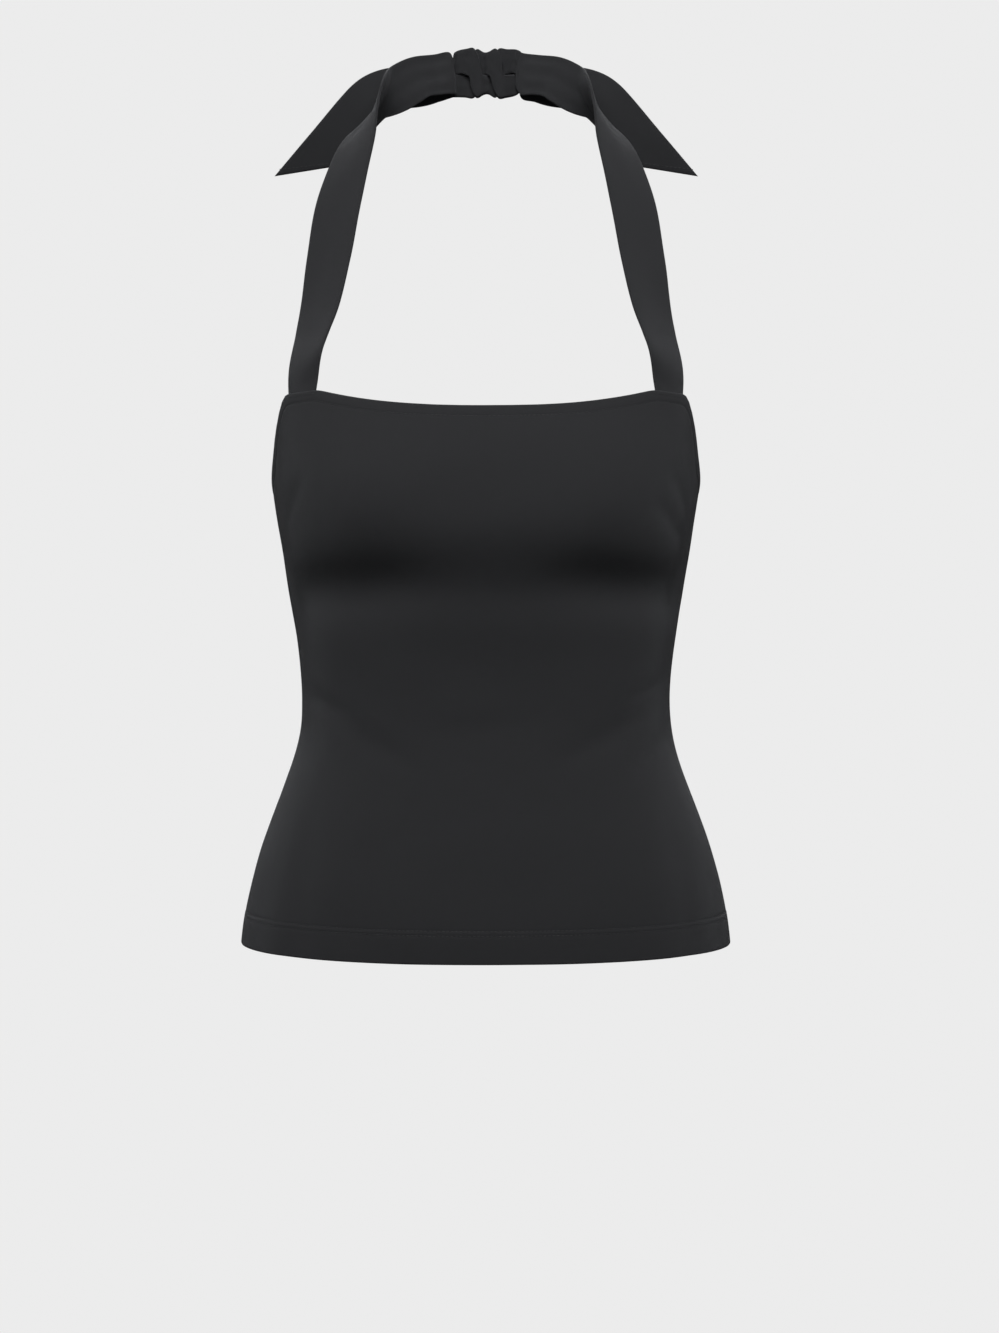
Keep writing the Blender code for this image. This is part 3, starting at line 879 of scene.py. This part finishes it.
# A row is a place along a tie's middle line. facing is its outward direction in degrees from the front,
# and lift is how far it looks up
Row = namedtuple("Row", "out y up wide facing lift thick", defaults=[TIE_THICK])
STRAP_ROWS = [
    Row(0.1238, -0.1217, -0.2242, 0.0315, 40, 8),
    Row(0.1182, -0.1123, -0.1950, 0.0310, 47, 12),
    Row(0.1104, -0.1012, -0.1650, 0.0330, 37, 16),
    Row(0.1052, -0.0893, -0.1345, 0.0330, 26, 20),
    Row(0.1004, -0.0763, -0.1034, 0.0330, 21, 24),
    Row(0.0946, -0.0638, -0.0780, 0.0330, 30, 30),
    Row(0.0874, -0.0515, -0.0545, 0.0330, 48, 36),
    Row(0.0805, -0.0405, -0.0375, 0.0330, 80, 36),
    Row(0.0705, -0.0280, -0.0240, 0.0320, 112, 20),
    Row(0.0590, -0.0160, -0.0150, 0.0316, 138, -10),
    Row(0.0460, -0.0075, -0.0072, 0.0308, 155, -22, 0.0024),
    Row(0.0345, -0.0006, -0.0050, 0.0306, 168, -22, 0.0024),
    Row(0.0236, 0.0022, -0.0036, 0.0296, 177, -12, 0.0026),
]
TAIL_ROWS = [
    Row(0.0236, 0.0120, -0.0052, 0.0296, 0, 10, 0.0026),
    Row(0.0345, 0.0110, -0.0087, 0.0300, 0, 18, 0.0024),
    Row(0.0460, 0.0085, -0.0117, 0.0300, -2, 16),
    Row(0.0590, 0.0062, -0.0132, 0.0306, -5, 12),
    Row(0.0695, 0.0042, -0.0158, 0.0313, -8, 9),
    Row(0.0785, 0.0030, -0.0208, 0.0322, -10, 8),
    Row(0.0880, 0.0035, -0.0300, 0.0320, -10, 7),
    Row(0.1050, 0.0065, -0.0497, 0.0320, -10, 4),
    Row(0.1228, 0.0105, -0.0700, 0.0315, -10, 4),
]


def smooth_rows(rows, steps):
    """The rows with further ones smoothly between them, as an array with a column for each field."""
    values = np.array(rows, dtype=float)
    slopes = np.empty_like(values)
    slopes[1:-1] = (values[2:] - values[:-2]) / 2
    slopes[0], slopes[-1] = (values[1] - values[0]) / 2, (values[-1] - values[-2]) / 2
    share = (np.arange(steps) / steps)[None, :, None]
    square, cube = share ** 2, share ** 3
    found = (
        (2 * cube - 3 * square + 1) * values[:-1, None] + (cube - 2 * square + share) * slopes[:-1, None]
        + (3 * square - 2 * cube) * values[1:, None] + (cube - square) * slopes[1:, None]
    )
    return np.concatenate([found.reshape(-1, values.shape[1]), values[-1:]])


def tie_rows(lead):
    """A tie's whole line at even steps. lead is 1 for the tie whose own half of the knot is the lower."""
    bends = KNOT_BENDS + [KNOT_TURN]
    bends += [b._replace(layer=-b.layer, facing=180 - b.facing) for b in reversed(KNOT_BENDS)]
    knot = [
        Row(
            b.out, KNOT_CENTRE_Y - b.layer, KNOT_CENTRE_UP + lead * b.half * KNOT_HALF_UP,
            b.wide, b.facing, 0, min(KNOT_AREA / b.wide, KNOT_THICKEST),
        ) for b in bends
    ]
    fine = smooth_rows(STRAP_ROWS + knot + TAIL_ROWS, FINE_STEPS)
    even, _, rows = even_along(fine[:, :3], fine, TIE_STEP)
    return even, softened(rows, LINE_SOFTEN, closed=False)


def tie_foot(heights):
    """The tie's middles, outward and inner-edge directions at heights above the front's edge, and how far
    its edges curl back to follow the front's curve."""
    inner, outer = TIE_FOOT_TURNS
    turns = np.array([outer, (inner + outer) / 2, inner])
    ups = np.interp(turns, form.turns, form.top) + np.minimum(heights, 0.0)[:, None]
    points = form_points(turns, ups)
    upright = unit(points - form_points(turns, ups - NEAR_UP))
    points = points + upright * np.maximum(heights, 0.0)[:, None, None]
    inner_edge = unit(points[:, 2] - points[:, 0])
    outward = unit(np.cross(upright[:, 1], inner_edge))
    back = TIE_BEHIND + (JERSEY - TIE_BEHIND) * smooth_step(heights / TIE_RISE)
    curl = (((points[:, 0] + points[:, 2]) / 2 - points[:, 1]) * outward).sum(axis=1)
    curl = curl * smooth_step(1 - heights / TIE_UNCURL)
    return points[:, 1] - outward * back[:, None], outward, inner_edge, curl


def tie_frames(lead):
    """A tie's rows from its tucked foot on, with its middles, directions and curl at each."""
    length, rows = tie_rows(lead)
    first = round(TIE_TUCK / TIE_STEP)
    length = np.concatenate([-TIE_STEP * np.arange(first, 0, -1), length])
    rows = np.concatenate([np.repeat(rows[:1], first, axis=0), rows])
    along = np.gradient(rows[first:, :3], axis=0)
    along[:, 2] *= np.clip((rows[first:, 0] - UPRIGHT_OUT) / (SQUARE_OUT - UPRIGHT_OUT), 0, 1)
    along = unit(np.concatenate([np.repeat(along[:1], first, axis=0), along]))
    facing, lift = np.radians(rows[:, 4:6]).T
    level = np.cos(lift)
    outward = np.stack([np.sin(facing) * level, -np.cos(facing) * level, np.sin(lift)], axis=-1)
    outward = unit(outward - along * (outward * along).sum(axis=1, keepdims=True))
    inner_edge = np.cross(outward, along)

    foot_middle, foot_outward, foot_edge, curl = tie_foot(np.minimum(length, TIE_UNCURL))
    share = smooth_step(length / TIE_BLEND)[:, None]
    middles = foot_middle + (rows[:, :3] - foot_middle) * share
    outward = unit(foot_outward + (outward - foot_outward) * share)
    inner_edge = unit(foot_edge + (inner_edge - foot_edge) * share)
    return length, rows, middles, along, outward, inner_edge, curl


TieForm = namedtuple("TieForm", "ring lining length side")


def tie_form(side, lead, creases, shift):
    """One tie's outer skin and the hollow in it, each a ring of points at every step along it."""
    length, rows, middles, along, outward, inner_edge, curl = tie_frames(lead)
    out, _, up, wide, _, _, thick = rows.T
    tucked = smooth_step(1 - length / TIE_RISE)
    wide = wide * (1 - TUCK_NARROW * tucked)
    thick = thick * (1 - TUCK_FLAT * tucked)
    in_knot = smooth_step((KNOT_REACH - out) / KNOT_EASE)
    near_knot = np.clip((GATHERS_OUT - out) / (GATHERS_OUT - KNOT_REACH), 0, 1) ** GATHER_FADE
    near_knot = near_knot * (1 - in_knot)

    place = -np.cos(pi * np.arange(TIE_COLUMNS + 1) / TIE_COLUMNS)[None, :]
    wide, thick, in_knot, near_knot = (v[:, None] for v in (wide, thick, in_knot, near_knot))
    sideways = place * wide / 2
    round_in = np.clip(1 - (1 - np.abs(place)) * wide / thick, 0, 1)
    pressed = np.sqrt(np.maximum(1 - round_in ** 2, 0))
    oval = np.maximum(1 - place ** 2, 0) ** KNOT_SQUARE
    full = pressed + (oval - pressed) * KNOT_OVAL * in_knot
    cloth_side = place * TIE_WIDTH / 2 + np.zeros_like(sideways)
    at = length[:, None] + np.zeros_like(sideways)

    waves, waves_along = TIE_WAVES
    wander = noise_at(shift, length * WANDER_WAVES, 0.0)[:, None]
    bow = crease_depth(creases, cloth_side, at) + curl[:, None] * place ** 2
    bow += GATHER_DEEP * near_knot * np.cos((place * GATHERS + wander * GATHER_WANDER) * 2 * pi)
    uneven = noise_at(shift + place * waves, length[:, None] * waves_along, 0.0)
    bow += TIE_UNEVEN * (1 - in_knot) * uneven
    groove = KNOT_GROOVE * in_knot * np.cos((place * KNOT_GROOVES + wander * GROOVE_WANDER) * 2 * pi)
    seam = TIE_SEAM_SINK * np.exp(-((((1 - place) * wide / 2 - TIE_SEAM_IN) / TIE_SEAM_WIDE) ** 2))
    left = length[-1] - length
    lean = -np.maximum(1 - left / TAIL_CUT_RUN, 0.0) / tan(radians(TAIL_CUT))

    half = ((up - KNOT_CENTRE_UP) / KNOT_HALF_UP)[:, None]
    meets = smooth_step((np.abs(half) - MEET_FROM) / MEET_EASE) * in_knot

    def skin(narrower, reach):
        """Points beside the middle line, some narrower than the tie and this far out of its plane."""
        across = sideways * (1 - narrower / wide)
        points = (
            middles[:, None] + inner_edge[:, None] * across[..., None] + outward[:, None] * reach[..., None]
            - along[:, None] * (lean[:, None] * across)[..., None]
        )
        meet = KNOT_CENTRE_UP + MEET_SLOPE * (points[..., 1] - KNOT_CENTRE_Y)
        past = (meet - points[..., 2]) * np.sign(half) + (MEET_GAP + narrower / 2) / 2
        points[..., 2] += np.sign(half) * np.maximum(past, 0) * meets
        return points * (side, 1, 1)

    outer, inner = (skin(0.0, face * (thick / 2 * full + groove * full - seam) + bow) for face in (1, -1))
    for row, share in zip((-1, -2, -3), END_ROUND):
        middle = (outer[row] + inner[row]) / 2
        for face in (outer, inner):
            face[row] = middle + (face[row] - middle) * share
    hollow = np.maximum((thick / 2 - JERSEY) * (1 - in_knot), HOLLOW_LEAST) * full
    wall = JERSEY * (1 + 2 * in_knot)
    upper, lower = (skin(2 * wall, face * hollow + bow) for face in (1, -1))
    ring, lining = (np.concatenate([a, b[:, -2:0:-1]], axis=1) for a, b in ((outer, inner), (upper, lower)))
    return TieForm(ring, lining[:-2], length, side)


def tube_faces(first, rows, around, inside_out):
    """Quads round rows of points, and a flat end across the last row."""
    faces = round_faces(first, rows, around)
    last, half = first + (rows - 1) * around, around // 2
    end = last + around
    faces.append((last, last + 1, end - 1))
    faces += [(last + c, last + c + 1, end - c - 1, end - c) for c in range(1, half - 1)]
    faces.append((last + half - 1, last + half, last + half + 1))
    return [face[::-1] for face in faces] if inside_out else faces


def tie_piece(name, tie):
    """A tie's mesh: a tube with a wall, open at its tucked foot and closed at its free end."""
    around = tie.ring.shape[1]
    lining_first = len(tie.ring) * around
    outside_in = tie.side > 0
    faces = tube_faces(0, len(tie.ring), around, outside_in)
    faces += tube_faces(lining_first, len(tie.lining), around, not outside_in)
    foot = [(c, lining_first + c, lining_first + (c + 1) % around, (c + 1) % around) for c in range(around)]
    faces += [face[::-1] for face in foot] if outside_in else foot
    mesh = new_mesh(name, np.concatenate([tie.ring, tie.lining]), faces)
    place = -np.cos(2 * pi * np.arange(around) / around)
    across = np.where(np.arange(around) <= around // 2, place, 2 - place) * TIE_WIDTH / 2
    along = np.concatenate([tie.length, tie.length[:len(tie.lining)]])
    lay_cloth(mesh, across, along[:, None])
    mesh.shade_smooth()
    return new_object(name, mesh)


def end_rows(tie):
    """Stitch rows across a tie's turned-in end, on both its sides."""
    row = tie.ring[-1 - round(END_STITCH / TIE_STEP)]
    upper, lower = row[1:TIE_COLUMNS], row[:TIE_COLUMNS:-1]
    outward = unit(upper - lower)
    return [(upper, outward), (lower, -outward)]


# Folds where a strap turns over the shoulder into the nape, from the tie's middle and along it
RIGHT_TIE_CREASES = [
    Crease(-0.002, 0.205, 58, 0.030, 0.0028, -0.0010),
    Crease(0.005, 0.226, 66, 0.036, 0.0032, -0.0012),
]
LEFT_TIE_CREASES = [
    Crease(0.004, 0.212, 62, 0.034, 0.0030, -0.0011),
    Crease(-0.006, 0.232, 50, 0.030, 0.0028, 0.0009),
]
right_tie = tie_form(-1, 1, RIGHT_TIE_CREASES, 4.2)
left_tie = tie_form(1, -1, LEFT_TIE_CREASES, 11.9)

BAR_ROW = -1 - row_at(NECK_ROWS, EDGE_STEPS[-1])
at_ties = [
    (front_face.turns * side > TIE_FOOT_TURNS[0]) & (front_face.turns * side < TIE_FOOT_TURNS[1])
    for side in (-1, 1)
]
bars = [(front_face.points[BAR_ROW, columns], front_face.normals[BAR_ROW, columns]) for columns in at_ties]
stitch_rows("tie_bars", bars, "front_jersey")
for node, tie in (("tie_right", right_tie), ("tie_left", left_tie)):
    piece = tie_piece(node + "_cloth", tie)
    dress(piece, jersey_material(node + "_jersey"), node + "_jersey", node)
    stitch_rows(node + "_stitches", end_rows(tie), node + "_jersey")


# ---- Studio --------------------------------------------------------------------------
# A plain pale floor in a plain pale room, soft light mostly from above and in front, and a camera level
# with the neckline.
FLOOR_UP = -1.45
FLOOR_REACH = 30.0
PALE = 0.838

# The floor is wide and level, and as pale all over as the room behind it
corners = [(x * FLOOR_REACH, y * FLOOR_REACH, FLOOR_UP) for x, y in ((-1, -1), (1, -1), (1, 1), (-1, 1))]
floor_mesh = new_mesh("pale_floor", np.array(corners), [(0, 1, 2, 3)])
material, tree, shader = new_material("pale_floor")
set_inputs(
    tree, shader, Base_Color=(0.0, 0.0, 0.0, 1.0), Specular_IOR_Level=0.0,
    Emission_Color=(PALE, PALE, PALE, 1.0), Emission_Strength=1.0,
)
floor_mesh.materials.append(material)
floor = new_object("pale_floor", floor_mesh)
floor.visible_diffuse = False
floor.visible_glossy = False
floor.visible_shadow = False

BODY_MIDDLE = Vector((0.0, -0.065, -0.36))
SOFTBOX = 1.6


def aimed(name, data, place, aim):
    """An object at a place that looks at another place."""
    made = new_object(name, data)
    made.location = place
    made.rotation_euler = (aim - Vector(place)).to_track_quat("-Z", "Y").to_euler()
    return made


def soft_light(name, place, power):
    """A large square softbox that looks at the body's middle."""
    light = bpy.data.lights.new(name, "AREA")
    light.shape = "SQUARE"
    light.size = SOFTBOX
    light.energy = power
    aimed(name, light, place, BODY_MIDDLE)


soft_light("high_front", (0.0, -1.9, 1.2), 48.0)
soft_light("left_side", (-2.0, 1.1, 0.7), 7.5)
soft_light("right_side", (2.0, 1.1, 0.7), 5.5)
soft_light("high_back", (0.0, 1.9, 1.2), 46.0)

# The room lights the cloth less than it shows itself
ROOM_LIGHT = 0.09

world = bpy.data.worlds.new("studio")
world.use_nodes = True
room = world.node_tree.nodes["Background"]
ray = add_node(world.node_tree, "ShaderNodeLightPath")
seen = add_math(world.node_tree, "MULTIPLY_ADD", ray["Is Camera Ray"], PALE - ROOM_LIGHT, ROOM_LIGHT)
set_inputs(world.node_tree, room, Color=(1.0, 1.0, 1.0, 1.0), Strength=seen)
bpy.context.scene.world = world
bpy.context.scene.view_settings.view_transform = "Standard"

# The camera stands at the front, level with the neckline, and looks slightly down
CAMERA_PLACE = Vector((0.0092, -2.865, -0.249))
CAMERA_AIM = Vector((0.0092, -0.065, -0.410))
FRAME_TALL = 0.9064  # how much the view's long side takes in at the aim
SENSOR = 36.0
FAR_CLIP = 50.0

lens = bpy.data.cameras.new("camera")
lens.sensor_width = SENSOR
lens.lens = SENSOR * (CAMERA_AIM - CAMERA_PLACE).length / FRAME_TALL
lens.clip_end = FAR_CLIP
bpy.context.scene.camera = aimed("camera", lens, CAMERA_PLACE, CAMERA_AIM)
